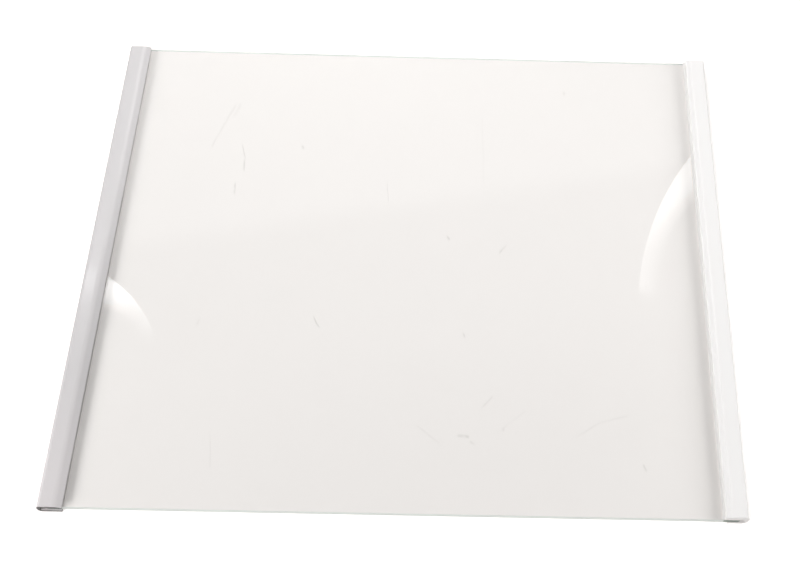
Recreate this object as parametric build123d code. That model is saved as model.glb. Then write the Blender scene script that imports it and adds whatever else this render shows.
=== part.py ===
from build123d import *

import os

# Refrigerator shelf: a clear toughened glass pane with a silver front trim and a white rear trim.
#
# Both trims are extruded plastic profiles. Each is a slotted rail that is pushed onto one edge of the
# pane: the pane lies on the lower flange, grip ribs press on it from above, and the ends stay open.
#
# Millimetres. X runs along the trims, -Y is the front of the shelf, +Y the rear, +Z up.
# The origin is the middle of the shelf's outline, on the plane of the two trims' undersides.

# Pane
glass_width = 350.6
glass_depth = 407.5
glass_thickness = 3.2
glass_corner_radius = 3.0
glass_arris = 0.4

# Slot that holds the pane, the same in both trims
flange_wall = 1.5
slot_clearance = 0.2
edge_gap = 0.6
lip_round = 0.25

# Grip ribs under the slot's upper wall, each as deep as the clearance over the pane
rib_count = 3
rib_pitch = 2.2
rib_setback = 1.6
rib_base = 0.7
rib_tip = 0.3

# Saw-cut ends, bevelled along the top
end_bevel = 0.4

# Front trim: a round nose, a level crown, then a slope down to the lip on the glass
front_width = 14.7
front_flange_setback = 0.5
front_nose_wall = 1.5
front_nose_radius_low = 3.0
front_nose_radius_top = 2.4
front_crown_width = 10.2
front_crown_rise = 2.4
front_ridge_radius = 9.0
front_lip_thickness = 0.6
front_overhang = 0.8

# Rear trim: a taller rail, with a thin lip on the glass and a shallow groove along its top
rear_width = 15.2
rear_flange_setback = 3.2
rear_wall = 1.4
rear_radius_low = 4.0
rear_radius_top = 1.8
rear_crown_rise = 3.9
rear_lip_width = 1.3
rear_lip_thickness = 0.8
rear_face_lean = 0.35
rear_face_radius = 0.6
rear_groove_radius = 3.0
rear_groove_depth = 0.2
rear_groove_setback = 3.0
rear_overhang = 0.0

# Heights above the plane the shelf rests on
glass_bottom = flange_wall
glass_top = glass_bottom + glass_thickness
slot_top = glass_top + slot_clearance
slot_radius = (slot_top - flange_wall) / 2
slot_middle = flange_wall + slot_radius
front_height = glass_top + front_crown_rise
rear_height = glass_top + rear_crown_rise

# How far the lower flanges reach inward, each short of the lip above it
front_flange = front_width - front_flange_setback
rear_flange = rear_width - rear_flange_setback

# Where the pane's edges lie, measured inward from the outer face of each trim
front_inset = front_nose_wall + slot_radius + edge_gap
rear_inset = rear_wall + slot_radius + edge_gap
shelf_depth = front_inset + glass_depth + rear_inset
front_face = -shelf_depth / 2
rear_face = shelf_depth / 2


def rounded(face, point, radius):
    """The face with its corner nearest to the point rounded."""
    return fillet(face.vertices().sort_by_distance(point)[0], radius)


def slot_cut(width, wall):
    """The slot's outline: open at the lip, half round at its end behind the pane's edge."""
    round_end = wall + slot_radius
    length = width - round_end
    straight = Pos(round_end + length / 2, slot_middle) * Rectangle(length, 2 * slot_radius)
    return straight + Pos(round_end, slot_middle) * Circle(slot_radius)


def grip_ribs(width):
    """Tapered ribs that reach from the slot's upper wall down to the pane."""
    ribs = Sketch()
    for index in range(rib_count):
        middle = width - rib_setback - index * rib_pitch
        ribs += make_face(
            Polyline(
                (middle - rib_base / 2, slot_top),
                (middle - rib_tip / 2, glass_top),
                (middle + rib_tip / 2, glass_top),
                (middle + rib_base / 2, slot_top),
                close=True,
            )
        )
    return ribs


def slotted(body, width, flange, wall, lip_thickness):
    """The solid outline of a trim with its slot cut, the two mouth edges eased and the ribs added."""
    rail = body - slot_cut(width, wall)
    rail = rounded(rail, (flange, flange_wall), min(lip_round, flange_wall / 3))
    rail = rounded(rail, (width, slot_top), min(lip_round, lip_thickness / 3))
    return rail + grip_ribs(width)


def front_section():
    """Front trim's section: x is the distance inward from its outer face, y the height."""
    lip_top = slot_top + front_lip_thickness
    body = make_face(
        Polyline(
            (0, 0),
            (front_flange, 0),
            (front_flange, slot_middle),
            (front_width, slot_middle),
            (front_width, lip_top),
            (front_crown_width, front_height),
            (0, front_height),
            close=True,
        )
    )
    body = rounded(body, (front_crown_width, front_height), front_ridge_radius)
    body = rounded(body, (front_width, lip_top), min(lip_round, front_lip_thickness / 3))
    body = rounded(body, (0, front_height), front_nose_radius_top)
    body = rounded(body, (0, 0), front_nose_radius_low)
    body = rounded(body, (front_flange, 0), min(lip_round, flange_wall / 3))
    return slotted(body, front_width, front_flange, front_nose_wall, front_lip_thickness)


def rear_section():
    """Rear trim's section: x is the distance inward from its outer face, y the height."""
    lip_top = slot_top + rear_lip_thickness
    face_foot = rear_width - rear_lip_width
    face_head = face_foot - rear_face_lean
    body = make_face(
        Polyline(
            (0, 0),
            (rear_flange, 0),
            (rear_flange, slot_middle),
            (rear_width, slot_middle),
            (rear_width, lip_top),
            (face_foot, lip_top),
            (face_head, rear_height),
            (0, rear_height),
            close=True,
        )
    )
    body = rounded(body, (face_head, rear_height), rear_face_radius)
    body = rounded(body, (rear_width, lip_top), min(lip_round, rear_lip_thickness / 3))
    body = rounded(body, (0, rear_height), rear_radius_top)
    body = rounded(body, (0, 0), rear_radius_low)
    body = rounded(body, (rear_flange, 0), min(lip_round, flange_wall / 3))

    groove_height = rear_height + rear_groove_radius - rear_groove_depth
    body -= Pos(face_head - rear_groove_setback, groove_height) * Circle(rear_groove_radius)
    return slotted(body, rear_width, rear_flange, rear_wall, rear_lip_thickness)


def trim(section, plane, length, height):
    """A section extruded along the shelf, with the top of both cut ends bevelled."""
    bar = extrude(plane * section, length / 2, both=True)
    end = length / 2
    side_view = make_face(
        Polyline(
            (-end, 0),
            (end, 0),
            (end, height - end_bevel),
            (end - end_bevel, height),
            (end_bevel - end, height),
            (-end, height - end_bevel),
            close=True,
        )
    )
    envelope = extrude(Plane.XZ * side_view, shelf_depth, both=True)
    return bar & envelope


def glass_pane():
    """Pane with dubbed corners and a ground arris along every edge."""
    outline = RectangleRounded(glass_width, glass_depth, glass_corner_radius)
    pane = extrude(outline, glass_thickness)
    rims = pane.faces().sort_by(Axis.Z)[0].edges() + pane.faces().sort_by(Axis.Z)[-1].edges()
    pane = chamfer(rims, glass_arris)
    return Pos(0, front_face + front_inset + glass_depth / 2, glass_bottom) * pane


def front_trim():
    """Silver trim along the front edge."""
    plane = Plane(origin=(0, front_face, 0), x_dir=(0, 1, 0), z_dir=(1, 0, 0))
    return trim(front_section(), plane, glass_width + 2 * front_overhang, front_height)


def rear_trim():
    """White trim along the rear edge."""
    plane = Plane(origin=(0, rear_face, 0), x_dir=(0, -1, 0), z_dir=(-1, 0, 0))
    return trim(rear_section(), plane, glass_width + 2 * rear_overhang, rear_height)


os.makedirs("parts", exist_ok=True)
for make in (glass_pane, front_trim, rear_trim):
    export_step(make(), f"parts/{make.__name__}.step")
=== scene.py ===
import math

import bmesh
import bpy
from mathutils import Matrix, Vector


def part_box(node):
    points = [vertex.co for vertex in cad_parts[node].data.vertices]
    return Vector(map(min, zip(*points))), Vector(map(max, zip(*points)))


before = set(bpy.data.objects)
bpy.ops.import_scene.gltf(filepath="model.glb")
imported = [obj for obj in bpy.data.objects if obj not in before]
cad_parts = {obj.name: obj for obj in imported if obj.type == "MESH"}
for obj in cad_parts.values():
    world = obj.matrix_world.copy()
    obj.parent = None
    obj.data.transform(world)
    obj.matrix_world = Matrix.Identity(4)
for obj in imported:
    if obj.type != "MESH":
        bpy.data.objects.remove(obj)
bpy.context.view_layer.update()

# Lengths are in metres and angles in degrees, apart from names that end in PX or MM.
# A noise is given by its scale, detail and roughness. A ramp is given by the two values between which it
# changes, and by its results at both of them where these aren't 0 and 1.
MM_PER_METRE = 1000
NOISE_MIDDLE = (0.5, 0.5, 0.5)

# Camera, fitted to the shelf's edges in the photograph
PHOTO_WIDTH_PX = 800
FOCAL_PX = 1285.6
CENTRE_X_PX = 493.2
SENSOR_MM = 36.0
CAMERA_PLACE = Vector((0.4510, 0.0390, 0.7163))
CAMERA_PITCH = 58.433
CAMERA_ROLL = 3.235
CAMERA_YAW = 2.235

# Floor: its paint, and the glow that keeps it white, as a ramp over the distance from the shelf's middle
# where the camera sees it, and as one level in mirrors and through the glass
FLOOR_SIZE = 12.0
FLOOR_DROP = 0.0001
FLOOR_COLOUR = (0.92, 0.885, 0.868, 1.0)
FLOOR_GLOW_SEEN = (0.5, 1.2, 0.40, 1.0)
FLOOR_GLOW_THROUGH = 0.03

# World as mirrors see it: a white wall that meets a dimmer ceiling at one straight edge. The steps give the
# level by how far a direction leans over that edge. It dims to the right, but low on the right it is white.
SKY_WHITE = (1.0, 1.0, 1.0, 1.0)
SKY_EDGE = Vector((0.8054, 0.1653, 0.5693))
SKY_STEPS = ((-1.0, 1.0), (-0.004, 1.0), (0.004, 0.70), (0.10, 0.67), (0.20, 0.42), (1.0, 0.38))
SKY_RIGHT = (0.1, 0.5, 1.0, 0.5)
SKY_WALL_SIDE = (0.2, 0.5)
SKY_WALL_HEIGHT = (0.25, 0.45, 1.0, 0.0)

# Light that the world gives: its level overhead, and how much it grows towards the far side
SKY_LIGHT = 0.089
SKY_LIGHT_FAR = 0.063

# Soft lamps: place, size of the square and power in watts
LAMPS = {
    "lamp_far": (Vector((-0.55, -0.12, 0.62)), 0.32, 3.5),
    "lamp_left": (Vector((0.80, -0.79, 0.60)), 0.54, 9.1),
    "lamp_right": (Vector((0.12, 0.82, 0.49)), 0.63, 4.6),
}
# Broad even light from the left: where it comes from, how many degrees across, and its strength
LEFT_LIGHT = (Vector((0.20, -0.60, 0.785)), 25.0, 0.46)

# Round lamp faces that show in the glass, each with a round dark part.
# face, dark: centre and radius of the whole face and of its dark part
# rise: width over which the glow rises beside the dark part
# line: two points that give the line along the glow, from its tip
# levels: the glow at both points and past the second one
# fade: shares of the line between which the tip fades in
ROUNDS = {
    "round_left": {
        "face": ((-0.496, -0.718), 0.2553),
        "dark": ((-0.5454, -0.597), 0.100),
        "rise": 0.034,
        "line": ((-0.600, -0.497), (-0.655, -0.589)),
        "levels": (1.35, 4.1, 7.4),
        "fade": (-0.14, 0.15),
    },
    "round_right": {
        "face": ((-0.637, 0.964), 0.6315),
        "dark": ((-0.6984, 0.690), 0.3123),
        "rise": 0.032,
        "line": ((-0.700, 0.345), (-0.925, 0.455)),
        "levels": (0.95, 2.45, 2.45),
        "fade": (-0.02, 0.06),
    },
}
# For both: height, soft rim, sides of the mesh, the shares of the line between which the glow grows to its
# second and to its third level, and how far behind the line it ends
ROUND_HEIGHT = 1.2
ROUND_RIM = 0.003
ROUND_SIDES = 128
ROUND_GROWTH = (0.15, 1.1)
ROUND_PAST = (1.15, 1.45)
ROUND_BACK = (-0.030, -0.012)

# Glass
GLASS_IOR = 1.52
GLASS_TINT = (0.985, 0.985, 0.982, 1.0)
GLASS_ABSORPTION = (0.55, 0.80, 0.68, 1.0)
GLASS_DENSITY = 2.0
GLASS_SHADOW = (0.98, 0.98, 0.977, 1.0)

# Ground edges of the pane: a ramp over how level a face lies, 1 on an edge and 0 on the pane's faces, then
# the edges' colour in the open and the darker colour painted as shade where the trims hold them, and their
# finish
EDGE_SLOPE = (0.80, 0.95, 1.0, 0.0)
EDGE_OPEN = (0.79, 0.825, 0.80, 1.0)
EDGE_SHADED_HELD = (0.34, 0.40, 0.37, 1.0)
EDGE_HELD_BLEND = 0.001
EDGE_ROUGHNESS = 0.5
EDGE_CLOUDED = 0.7
EDGE_GLOW = 0.46

# Dirt on the pane: dust, a thin uneven haze, and marks that wander from their lines and break up along them
DIRT_COLOUR = (0.74, 0.73, 0.71, 1.0)
DIRT_ROUGHNESS = 0.25
DUST_NOISE = (420.0, 1.0)
DUST_SPECKS = (0.755, 0.80, 0.0, 0.5)
HAZE_NOISE = (14.0, 4.0, 0.6)
HAZE_PATCHES = (0.35, 0.75)
HAZE_ROUGHNESS = 0.012
MARK_WANDER_SCALE = 160.0
MARK_WANDER = 0.0022
MARK_BREAK_NOISE = (700.0, 3.0)
MARK_BREAKS = (0.36, 0.60, 0.25, 1.0)
MARK_CORE = 0.3

# Faint marks on the pane: points in the part's own X and Y, width and strength
MARKS_MM = {
    "streak": (((-126, -127), (-108, -133), (-89, -139)), 1.1, 0.40),
    "streak_beside": (((-128, -123), (-116, -127)), 0.9, 0.40),
    "hook": (((-91, -118), (-81, -115), (-70, -115)), 1.1, 0.50),
    "dab": (((-59, -119), (-51, -119)), 1.5, 0.45),
    "speck_far": (((-92, -77), (-90, -76)), 1.8, 0.60),
    "speck_corner": (((-145, 105), (-144, 106)), 1.6, 0.60),
    "nick": (((44, -58), (51, -54)), 1.0, 0.80),
    "tick_left": (((47, -130), (52, -131)), 0.9, 0.35),
    "speck_mid": (((-20, 25), (-18, 27)), 1.8, 0.70),
    "scuff": (((-14, 64), (-8, 60)), 1.5, 0.50),
    "speck_low": (((53, 37), (56, 39)), 1.5, 0.55),
    "pair_upper": (((98, 56), (105, 50)), 1.3, 0.50),
    "pair_lower": (((124, 36), (125, 42)), 1.6, 0.60),
    "pair_end": (((128, 43), (130, 46)), 1.4, 0.50),
    "line_left": (((118, 10), (124, 18), (131, 26)), 0.8, 0.35),
    "line_right": (((107, 77), (120, 61)), 0.8, 0.30),
    "arc": (((123, 108), (114, 122), (108, 141)), 0.9, 0.35),
    "tick_right": (((141, 147), (145, 149)), 1.4, 0.50),
    "hair_near": (((128, -113), (148, -111)), 0.7, 0.28),
    "hair_far": (((-123, 47), (-61, 49)), 0.6, 0.20),
    "hair_mid": (((-64, -17), (-46, -15)), 0.8, 0.40),
}

# Silver skin: its tones, a painted sheen that makes it lighter towards the near end in place of reflected
# light, where along the trim that sheen comes in, and its finish
SILVER_LOW = (0.680, 0.660, 0.664, 1.0)
SILVER_HIGH = (0.692, 0.671, 0.674, 1.0)
SILVER_PAINTED_SHEEN = (0.80, 0.765, 0.77, 1.0)
SILVER_SHEEN_SPAN = (0.07, 0.18)
SILVER_CLOUD = (35.0, 3.0)
SILVER_METALLIC = 0.3
SILVER_SPECULAR = 0.15
SILVER_ROUGHNESS = 0.265
SILVER_COAT = 0.35
SILVER_COAT_ROUGHNESS = 0.03
GRAIN_NOISE = (5200.0, 2.0)
GRAIN_ROUGHNESS = 0.03
GRAIN_BUMP = 0.05
GRAIN_DEPTH = 0.0001

# Painted shade, near black, on the cut ends and along the edge of the lip, where the gap under the lip lies
# in shade: how far a face turns to be one of these, and the share of that shade along the lip, as a ramp
# over X that grows towards the near end
SILVER_PAINTED_SHADE = (0.07, 0.07, 0.068, 1.0)
SHADE_END_FACING = (0.85, 0.95)
SHADE_LIP_FACING = (0.6, 0.8)
SHADE_ALONG_LIP = (-0.12, 0.12, 0.0, 0.5)

# White plastic: its tones and finish, and painted shade on its thin lip: the greyer colour and how far it
# reaches from the trim's inner edge
WHITE_LOW = (0.905, 0.891, 0.880, 1.0)
WHITE_HIGH = (0.915, 0.902, 0.892, 1.0)
WHITE_CLOUD = (28.0, 3.0)
WHITE_ROUGHNESS = 0.27
WHITE_CLOUD_ROUGHNESS = 0.08
WHITE_LIP_SHADE = (0.84, 0.825, 0.812, 1.0)
WHITE_LIP_WIDTH = 0.0016
WHITE_LIP_BLEND = 0.0002


class Graph:
    """A node tree, with short calls that add a node, set its values and join its inputs."""

    def __init__(self, tree):
        self.tree = tree
        tree.nodes.clear()

    def add(self, kind, inputs=None, **settings):
        node = self.tree.nodes.new(kind)
        for name, value in settings.items():
            setattr(node, name, value)
        for name, value in (inputs or {}).items():
            self.feed(node.inputs[name], value)
        return node

    def feed(self, socket, value):
        """Join another node's output to a socket, or set the socket's own value."""
        if isinstance(value, bpy.types.NodeSocket):
            self.tree.links.new(value, socket)
        else:
            socket.default_value = value

    def math(self, operation, *values, clamp=False):
        inputs = dict(enumerate(values))
        return self.add("ShaderNodeMath", inputs, operation=operation, use_clamp=clamp).outputs[0]

    def product(self, first, *others):
        for other in others:
            first = self.math("MULTIPLY", first, other)
        return first

    def vector(self, operation, *values, out="Vector"):
        inputs = dict(enumerate(values))
        return self.add("ShaderNodeVectorMath", inputs, operation=operation).outputs[out]

    def scale(self, vector, factor):
        inputs = {"Vector": vector, "Scale": factor}
        return self.add("ShaderNodeVectorMath", inputs, operation="SCALE").outputs["Vector"]

    def flatten(self, vector):
        """The vector without its height."""
        return self.vector("MULTIPLY", vector, (1.0, 1.0, 0.0))

    def parts(self, vector):
        """The X, Y and Z of a vector."""
        return self.add("ShaderNodeSeparateXYZ", {"Vector": vector}).outputs

    def ramp(self, value, low, high, start=0.0, end=1.0):
        """start below low, end above high, and a smooth step between them."""
        inputs = {"Value": value, "From Min": low, "From Max": high, "To Min": start, "To Max": end}
        return self.add("ShaderNodeMapRange", inputs, interpolation_type="SMOOTHSTEP").outputs[0]

    def line(self, value, low, high):
        """0 below low, 1 above high, and a straight rise between them."""
        inputs = {"Value": value, "From Min": low, "From Max": high}
        return self.add("ShaderNodeMapRange", inputs).outputs[0]

    def noise(self, vector, scale, detail=2.0, roughness=0.5, out="Fac"):
        inputs = {"Vector": vector, "Scale": scale, "Detail": detail, "Roughness": roughness}
        return self.add("ShaderNodeTexNoise", inputs).outputs[out]

    def mix(self, factor, low, high):
        """A colour between two colours."""
        node = self.add("ShaderNodeMix", data_type="RGBA")
        for socket, value in zip((node.inputs[0], node.inputs[6], node.inputs[7]), (factor, low, high)):
            self.feed(socket, value)
        return node.outputs[2]

    def blend(self, factor, first, second):
        """A shader between two shaders."""
        inputs = {0: factor, 1: first.outputs[0], 2: second.outputs[0]}
        return self.add("ShaderNodeMixShader", inputs)

    def places(self):
        """The part's own coordinates, in metres."""
        return self.add("ShaderNodeTexCoord").outputs["Object"]

    def facing(self):
        """The X, Y and Z of the direction that a face looks to."""
        return self.parts(self.add("ShaderNodeNewGeometry").outputs["True Normal"])

    def rays(self, *kinds):
        """1 for a ray of any of these kinds, otherwise 0."""
        path = self.add("ShaderNodeLightPath")
        total = path.outputs[kinds[0]]
        for kind in kinds[1:]:
            total = self.math("ADD", total, path.outputs[kind], clamp=True)
        return total

    def show(self, surface, **others):
        """End a material in this shader."""
        inputs = {"Surface": surface.outputs[0]}
        inputs.update((name, node.outputs[0]) for name, node in others.items())
        self.add("ShaderNodeOutputMaterial", inputs)


def material(name):
    made = bpy.data.materials.new(name)
    made.use_nodes = True
    return made, Graph(made.node_tree)


def stroke_mask(graph, places, points_mm, width_mm, strength):
    """strength on the line through the points, fading to 0 at half the width from it."""
    nearest = None
    for start, end in zip(points_mm, points_mm[1:]):
        start = Vector((*start, 0.0)) / MM_PER_METRE
        along = Vector((*end, 0.0)) / MM_PER_METRE - start
        offset = graph.vector("SUBTRACT", places, start)
        share = graph.vector("DOT_PRODUCT", offset, along / along.length_squared, out="Value")
        share = graph.math("ADD", share, 0.0, clamp=True)
        across = graph.vector("SUBTRACT", offset, graph.scale(tuple(along), share))
        distance = graph.vector("LENGTH", across, out="Value")
        nearest = distance if nearest is None else graph.math("MINIMUM", nearest, distance)
    half = width_mm / MM_PER_METRE / 2
    return graph.ramp(nearest, MARK_CORE * half, half, strength, 0.0)


def pane_dirt(graph, places):
    """How much dirt lies on the pane, as marks and dust, and how much haze."""
    flat = graph.flatten(places)
    wander = graph.vector("SUBTRACT", graph.noise(flat, MARK_WANDER_SCALE, out="Color"), NOISE_MIDDLE)
    bent = graph.flatten(graph.vector("ADD", flat, graph.scale(wander, MARK_WANDER)))
    marks = None
    for points, width, strength in MARKS_MM.values():
        mask = stroke_mask(graph, bent, points, width, strength)
        marks = mask if marks is None else graph.math("MAXIMUM", marks, mask)
    marks = graph.product(marks, graph.ramp(graph.noise(flat, *MARK_BREAK_NOISE), *MARK_BREAKS))
    dust = graph.ramp(graph.noise(flat, *DUST_NOISE), *DUST_SPECKS)
    haze = graph.ramp(graph.noise(flat, *HAZE_NOISE), *HAZE_PATCHES)
    return graph.math("MAXIMUM", marks, dust), haze


def pane_edge(graph, places):
    """1 on the pane's ground edges and 0 on its faces, and the colour of the edges, darkened as painted
    shade where the trims hold them.
    """
    ground = graph.ramp(graph.math("ABSOLUTE", graph.facing()["Z"]), *EDGE_SLOPE)
    depth = graph.parts(places)["Y"]
    front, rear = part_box("front_trim")[1][1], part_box("rear_trim")[0][1]
    # Painted shade: the edges are darkened inside the trims' slots, where no light reaches them.
    held_in_shade = graph.math(
        "MAXIMUM",
        graph.ramp(depth, front - EDGE_HELD_BLEND, front, 1.0, 0.0),
        graph.ramp(depth, rear, rear + EDGE_HELD_BLEND),
    )
    return ground, graph.mix(held_in_shade, EDGE_OPEN, EDGE_SHADED_HELD)


def glass_material():
    """Clear float glass with ground edges, and a little dirt on its faces."""
    made, graph = material("clear_glass")
    places = graph.places()
    dirt, haze = pane_dirt(graph, places)
    ground, edge = pane_edge(graph, places)
    dulled = graph.math("ADD", graph.product(dirt, DIRT_ROUGHNESS), graph.product(haze, HAZE_ROUGHNESS))
    glass = graph.add(
        "ShaderNodeBsdfPrincipled",
        {
            "Base Color": graph.mix(ground, graph.mix(dirt, GLASS_TINT, DIRT_COLOUR), edge),
            "Roughness": graph.math("MAXIMUM", dulled, graph.product(ground, EDGE_ROUGHNESS)),
            "IOR": GLASS_IOR,
            "Transmission Weight": graph.math("SUBTRACT", 1.0, graph.product(ground, EDGE_CLOUDED)),
        },
    )
    glowing = graph.add("ShaderNodeBsdfTranslucent", {"Color": edge})
    solid = graph.blend(graph.product(ground, EDGE_GLOW), glass, glowing)
    clear = graph.add("ShaderNodeBsdfTransparent", {"Color": GLASS_SHADOW})
    surface = graph.blend(graph.rays("Is Shadow Ray", "Is Diffuse Ray"), solid, clear)
    inside = graph.add("ShaderNodeVolumeAbsorption", {"Color": GLASS_ABSORPTION, "Density": GLASS_DENSITY})
    graph.show(surface, Volume=inside)
    return made


def silver_material():
    """Satin silver skin with a fine grain, a painted sheen that lightens it towards the near end, and
    painted shade, near black, on its cut ends and along the edge of its lip.
    """
    made, graph = material("silver_trim")
    places = graph.places()
    along = graph.parts(places)["X"]
    skin = graph.mix(graph.noise(places, *SILVER_CLOUD), SILVER_LOW, SILVER_HIGH)
    # Painted sheen: the skin's colour is made lighter towards the near end, standing in for reflected
    # light.
    skin = graph.mix(graph.ramp(along, *SILVER_SHEEN_SPAN), skin, SILVER_PAINTED_SHEEN)
    facing = graph.facing()
    # Painted shade: the cut ends and the edge of the lip over the shaded gap under it are coloured near
    # black, the lip more so towards the near end.
    shaded_end = graph.ramp(graph.math("ABSOLUTE", facing["X"]), *SHADE_END_FACING)
    shaded_lip_edge = graph.product(graph.ramp(facing["Y"], *SHADE_LIP_FACING), graph.ramp(along, *SHADE_ALONG_LIP))
    grain = graph.noise(places, *GRAIN_NOISE)
    bump = {"Height": grain, "Strength": GRAIN_BUMP, "Distance": GRAIN_DEPTH}
    shader = graph.add(
        "ShaderNodeBsdfPrincipled",
        {
            "Base Color": graph.mix(graph.math("MAXIMUM", shaded_end, shaded_lip_edge), skin, SILVER_PAINTED_SHADE),
            "Metallic": SILVER_METALLIC,
            "Roughness": graph.math("MULTIPLY_ADD", grain, GRAIN_ROUGHNESS, SILVER_ROUGHNESS),
            "Coat Weight": SILVER_COAT,
            "Specular IOR Level": SILVER_SPECULAR,
            "Coat Roughness": SILVER_COAT_ROUGHNESS,
            "Normal": graph.add("ShaderNodeBump", bump).outputs[0],
        },
    )
    graph.show(shader)
    return made


def white_material():
    """Semi-gloss white plastic of a slightly uneven tone, with painted shade greying its thin lip on the
    glass beside the raised body.
    """
    made, graph = material("white_trim")
    places = graph.places()
    cloud = graph.noise(places, *WHITE_CLOUD)
    lip_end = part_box("rear_trim")[0][1] + WHITE_LIP_WIDTH
    # Painted shade: the thin lip beside the raised body is greyed as if in its shadow.
    lip = graph.ramp(graph.parts(places)["Y"], lip_end - WHITE_LIP_BLEND, lip_end, 1.0, 0.0)
    shader = graph.add(
        "ShaderNodeBsdfPrincipled",
        {
            "Base Color": graph.mix(lip, graph.mix(cloud, WHITE_LOW, WHITE_HIGH), WHITE_LIP_SHADE),
            "Roughness": graph.math("MULTIPLY_ADD", cloud, WHITE_CLOUD_ROUGHNESS, WHITE_ROUGHNESS),
        },
    )
    graph.show(shader)
    return made


def dress(node, made):
    """Give a CAD node its material."""
    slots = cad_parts[node].data.materials
    slots.clear()
    slots.append(made)


def flat_mesh(name, build):
    """A stage object whose mesh the build function fills."""
    mesh = bpy.data.meshes.new(name)
    shape = bmesh.new()
    build(shape)
    shape.to_mesh(mesh)
    shape.free()
    made = bpy.data.objects.new(name, mesh)
    bpy.context.scene.collection.objects.link(made)
    return made


def make_floor():
    """A pale floor that is white where nothing shades it."""
    made, graph = material("floor")
    paint = graph.add("ShaderNodeBsdfDiffuse", {"Color": FLOOR_COLOUR})
    away = graph.vector("LENGTH", graph.places(), out="Value")
    seen = graph.product(graph.rays("Is Camera Ray"), graph.ramp(away, *FLOOR_GLOW_SEEN))
    through = graph.product(graph.rays("Is Glossy Ray", "Is Transmission Ray"), FLOOR_GLOW_THROUGH)
    glow = graph.add("ShaderNodeEmission", {"Strength": graph.math("MAXIMUM", seen, through)})
    graph.show(graph.add("ShaderNodeAddShader", {0: paint.outputs[0], 1: glow.outputs[0]}))
    floor = flat_mesh("floor", lambda shape: bmesh.ops.create_grid(shape, size=FLOOR_SIZE / 2))
    floor.location.z = -FLOOR_DROP
    floor.data.materials.append(made)


def make_round(name, face, dark, rise, line, levels, fade):
    """A round lamp face, seen only in reflections, that glows on one side of its round dark part."""
    made, graph = material(name)
    (centre, radius), (dark_centre, dark_radius) = face, dark
    centre, dark_centre, start, end = (Vector((*at, ROUND_HEIGHT)) for at in (centre, dark_centre, *line))
    along = end - start
    across = Vector((-along.y, along.x, 0.0)).normalized()
    if across.dot(centre - start) > 0:
        across.negate()
    places = graph.add("ShaderNodeNewGeometry").outputs["Position"]
    offset = graph.vector("SUBTRACT", places, start)
    share = graph.vector("DOT_PRODUCT", offset, along / along.length_squared, out="Value")
    ahead = graph.vector("DOT_PRODUCT", offset, across, out="Value")
    from_centre = graph.vector("DISTANCE", places, centre, out="Value")
    from_dark = graph.vector("DISTANCE", places, dark_centre, out="Value")
    lit = graph.product(
        graph.ramp(from_centre, radius - ROUND_RIM, radius, 1.0, 0.0),
        graph.line(from_dark, dark_radius, dark_radius + rise),
        graph.line(share, *fade),
        graph.line(ahead, *ROUND_BACK),
    )
    level = graph.ramp(share, *ROUND_GROWTH, *levels[:2])
    level = graph.math("ADD", level, graph.ramp(share, *ROUND_PAST, 0.0, levels[2] - levels[1]))
    glow = graph.add("ShaderNodeEmission", {"Strength": graph.product(level, lit)})
    clear = graph.add("ShaderNodeBsdfTransparent")
    graph.show(graph.add("ShaderNodeAddShader", {0: clear.outputs[0], 1: glow.outputs[0]}))
    outline = {"cap_ends": True, "segments": ROUND_SIDES, "radius": radius}
    disc = flat_mesh(name, lambda shape: bmesh.ops.create_circle(shape, **outline))
    disc.location = centre
    disc.data.materials.append(made)
    disc.visible_camera = False
    disc.visible_diffuse = False
    disc.visible_shadow = False


def make_lamp(name, place, size, power):
    """A soft square lamp aimed at the middle of the shelf."""
    data = bpy.data.lights.new(name, "AREA")
    data.size = size
    data.energy = power
    aim_lamp(data, place)


def make_even_light(name, place, across, strength):
    """Light of one strength over the whole shelf, as from a large window."""
    data = bpy.data.lights.new(name, "SUN")
    data.angle = math.radians(across)
    data.energy = strength
    aim_lamp(data, place)


def aim_lamp(data, place):
    """Stand a lamp at the place, turned to the middle of the shelf and left out of all reflections."""
    lamp = bpy.data.objects.new(data.name, data)
    lamp.location = place
    lamp.rotation_euler = (-place).to_track_quat("-Z", "Y").to_euler()
    lamp.visible_camera = False
    lamp.visible_glossy = False
    lamp.visible_transmission = False
    bpy.context.scene.collection.objects.link(lamp)


def sky_steps(graph, lean):
    """The colour that mirrors see of the world, by how far a direction leans over the edge."""
    steps = graph.add("ShaderNodeValToRGB", {"Fac": graph.math("MULTIPLY_ADD", lean, 0.5, 0.5)})
    stops = steps.color_ramp.elements
    while len(stops) < len(SKY_STEPS):
        stops.new(0.5)
    for stop, (place, level) in zip(stops, SKY_STEPS):
        stop.position = 0.5 + 0.5 * place
        stop.color = (level, level, level, 1.0)
    return steps.outputs["Color"]


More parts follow.
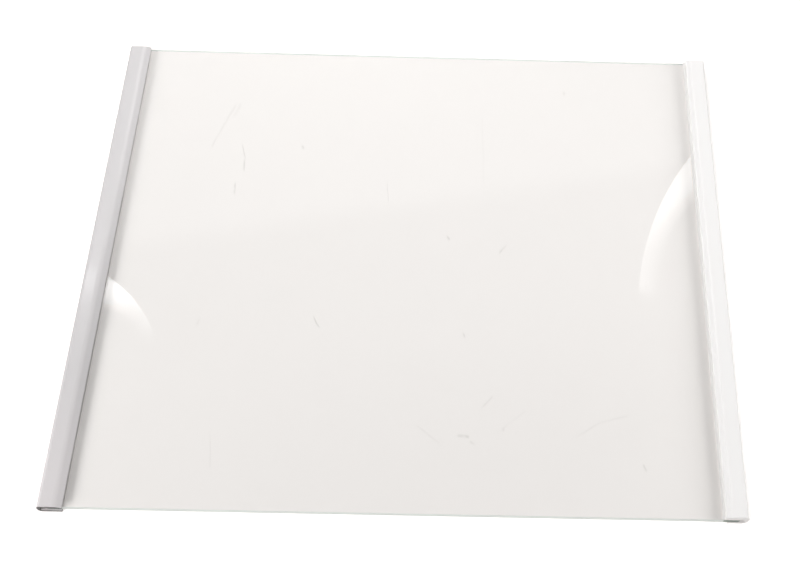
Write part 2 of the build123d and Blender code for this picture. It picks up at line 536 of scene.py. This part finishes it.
def make_world():
    """A white wall and a dimmer ceiling for the mirrors; its light is stronger from the far side."""
    world = bpy.data.worlds.new("studio")
    bpy.context.scene.world = world
    world.use_nodes = True
    graph = Graph(world.node_tree)
    direction = graph.add("ShaderNodeTexCoord").outputs["Generated"]
    lean = graph.vector("DOT_PRODUCT", direction, SKY_EDGE, out="Value")
    sides = graph.parts(direction)
    dimmed = graph.ramp(sides["Y"], *SKY_RIGHT)
    wall = graph.product(graph.ramp(sides["Y"], *SKY_WALL_SIDE), graph.ramp(sides["Z"], *SKY_WALL_HEIGHT))
    plain = graph.math("MAXIMUM", wall, graph.rays("Is Camera Ray"))
    colour = graph.mix(plain, sky_steps(graph, lean), SKY_WHITE)
    strength = graph.math("MAXIMUM", dimmed, plain)
    seen = graph.add("ShaderNodeBackground", {"Color": colour, "Strength": strength})
    level = graph.math("MULTIPLY_ADD", sides["X"], -SKY_LIGHT_FAR, SKY_LIGHT)
    light = graph.add("ShaderNodeBackground", {"Strength": level})
    seen_rays = graph.rays("Is Camera Ray", "Is Glossy Ray", "Is Transmission Ray")
    graph.add("ShaderNodeOutputWorld", {"Surface": graph.blend(seen_rays, light, seen).outputs[0]})


def make_camera():
    """The photograph's view, looking along the trims from the shelf's right-hand end."""
    pitch, roll, yaw = (math.radians(angle) for angle in (CAMERA_PITCH, CAMERA_ROLL, CAMERA_YAW))
    ahead = Vector((-math.cos(yaw) * math.cos(pitch), math.sin(yaw) * math.cos(pitch), -math.sin(pitch)))
    level = Vector((math.sin(yaw), math.cos(yaw), 0.0))
    raised = level.cross(ahead)
    right = level * math.cos(roll) + raised * math.sin(roll)
    up = raised * math.cos(roll) - level * math.sin(roll)
    data = bpy.data.cameras.new("camera")
    data.sensor_width = SENSOR_MM
    data.lens = FOCAL_PX * SENSOR_MM / PHOTO_WIDTH_PX
    data.shift_x = (PHOTO_WIDTH_PX / 2 - CENTRE_X_PX) / PHOTO_WIDTH_PX
    camera = bpy.data.objects.new("camera", data)
    turn = Matrix((right, up, -ahead)).transposed().to_4x4()
    camera.matrix_world = Matrix.Translation(CAMERA_PLACE) @ turn
    bpy.context.scene.collection.objects.link(camera)
    bpy.context.scene.camera = camera


make_camera()
make_world()
make_floor()
for lamp_name, lamp_values in LAMPS.items():
    make_lamp(lamp_name, *lamp_values)
make_even_light("light_left", *LEFT_LIGHT)
for round_name, round_values in ROUNDS.items():
    make_round(round_name, **round_values)
dress("glass_pane", glass_material())
dress("front_trim", silver_material())
dress("rear_trim", white_material())
bpy.context.scene.view_settings.view_transform = "Standard"
